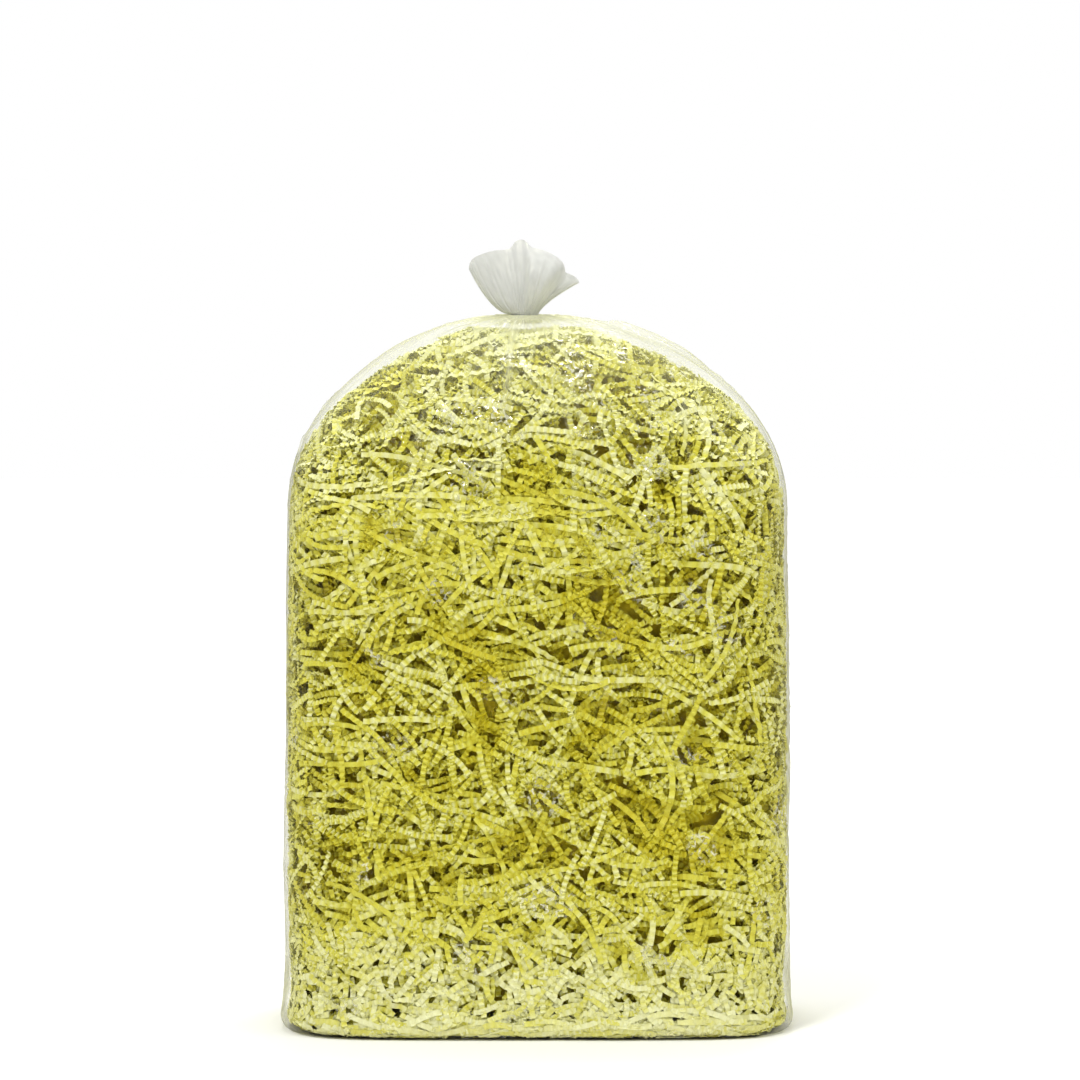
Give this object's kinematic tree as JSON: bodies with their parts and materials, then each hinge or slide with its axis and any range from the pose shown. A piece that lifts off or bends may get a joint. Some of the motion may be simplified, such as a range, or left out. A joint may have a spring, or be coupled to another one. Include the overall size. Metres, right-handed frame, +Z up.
{
  "type": "bag of crinkle paper shred",
  "caption": "Clear film bag packed with crinkle-cut paper shred, gathered at the neck and closed with a twist tie, its loose film fanned out on top.",
  "frame": {"origin": "on the ground, at the middle of the bag's base", "axes": "+Z up through the bag to its neck, +X along the bag's width to the right of its front, front faces -Y"},
  "size_m": [0.289, 0.192, 0.4426],
  "materials": {
    "film": "gloss",
    "tie_ribbon": "satin",
    "tie_wire": "satin",
    "packed_shred": "matte",
    "paper_strand": "matte"
  },
  "bodies": {
    "bag": {"bag_film": "film", "bottom_seal": "film", "neck_gather": "film", "tie_band": "tie_ribbon", "tie_wire": "tie_wire", "fill_core": "packed_shred", "shred_front_foot": "paper_strand", "shred_front_low": "paper_strand", "shred_front_high": "paper_strand", "shred_front_shoulder": "paper_strand", "shred_back_foot": "paper_strand", "shred_back_low": "paper_strand", "shred_back_high": "paper_strand", "shred_back_shoulder": "paper_strand", "shred_left_low": "paper_strand", "shred_left_high": "paper_strand", "shred_left_shoulder": "paper_strand", "shred_right_low": "paper_strand", "shred_right_high": "paper_strand", "shred_right_shoulder": "paper_strand", "shred_crown": "paper_strand"},
    "knuckle": {"neck_knuckle": "film"},
    "tail": {"tail_root": "film", "tail_fan": "film"},
    "twist": {"tie_twist": "tie_ribbon", "tie_twist_wires": "tie_wire", "tie_ends": "tie_ribbon"}
  },
  "joints": [
    {"name": "tail_sway", "type": "hinge", "parent": "bag", "child": "knuckle", "pos_m": [-0.007, 0, 0.405], "axis": [0, 1, 0], "range_deg": [-30, 30], "stiffness_Nm_per_rad": 0.004},
    {"name": "tail_nod", "type": "hinge", "parent": "knuckle", "child": "tail", "pos_m": [-0.007, 0, 0.405], "axis": [1, 0, 0], "range_deg": [-20, 35], "stiffness_Nm_per_rad": 0.004},
    {"name": "tie_untwist", "type": "hinge", "parent": "bag", "child": "twist", "pos_m": [-0.007, 0.01, 0.3991], "axis": [0, 0.9272, 0.3746], "range_deg": [-900, 180]}
  ]
}
